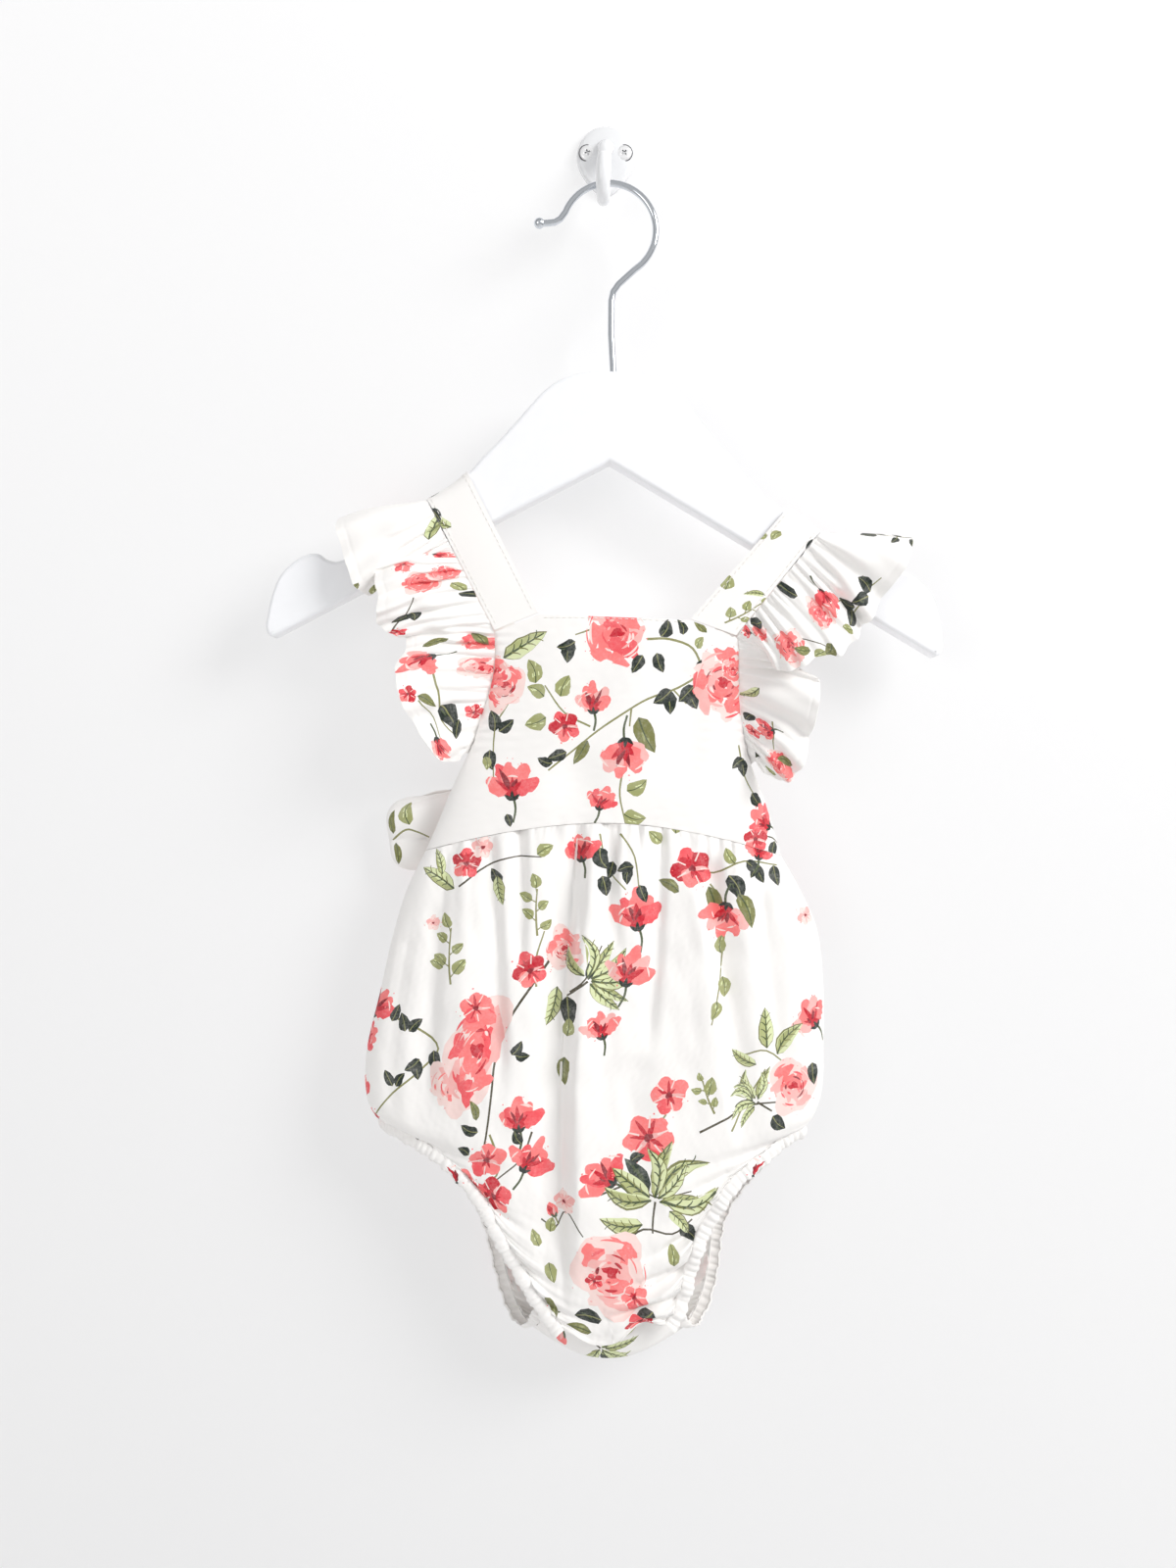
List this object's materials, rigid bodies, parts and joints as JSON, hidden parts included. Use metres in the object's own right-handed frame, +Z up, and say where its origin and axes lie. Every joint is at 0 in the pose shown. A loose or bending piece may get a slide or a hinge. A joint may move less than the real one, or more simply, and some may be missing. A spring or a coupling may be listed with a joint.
{
  "type": "baby romper on a hanger and wall hook",
  "caption": "Sleeveless bubble romper with square neckline, strap ruffles, gathered bloomer body and back bow, hung on a small hanger from a wall hook.",
  "frame": {"origin": "middle of the wall hook plate's flat back face, where it meets the wall", "axes": "+Z up, +Y into the wall, +X to the right seen from the front; the garment faces -Y"},
  "size_m": [0.2971, 0.0477, 0.5523],
  "materials": {
    "printed_cotton": "printed, matt",
    "hanger_paint": "painted white, satin",
    "hook_enamel": "gloss",
    "hanger_wire": "polished",
    "screw_steel": "bright"
  },
  "bodies": {
    "root": {"wall_hook": "hook_enamel", "screw_left": "screw_steel", "screw_right": "screw_steel", "hanger_hook": "hanger_wire", "hanger_bar": "hanger_paint", "front_bodice": "printed_cotton", "back_bodice": "printed_cotton", "front_skirt": "printed_cotton", "back_skirt": "printed_cotton", "strap_left": "printed_cotton", "strap_right": "printed_cotton", "ruffle_left": "printed_cotton", "ruffle_right": "printed_cotton", "leg_casing_left": "printed_cotton", "leg_casing_right": "printed_cotton", "tie_left": "printed_cotton", "tie_right": "printed_cotton", "bow_loop_left": "printed_cotton", "bow_loop_right": "printed_cotton", "bow_knot": "printed_cotton", "bow_tail_left": "printed_cotton", "bow_tail_right": "printed_cotton"}
  },
  "joints": []
}
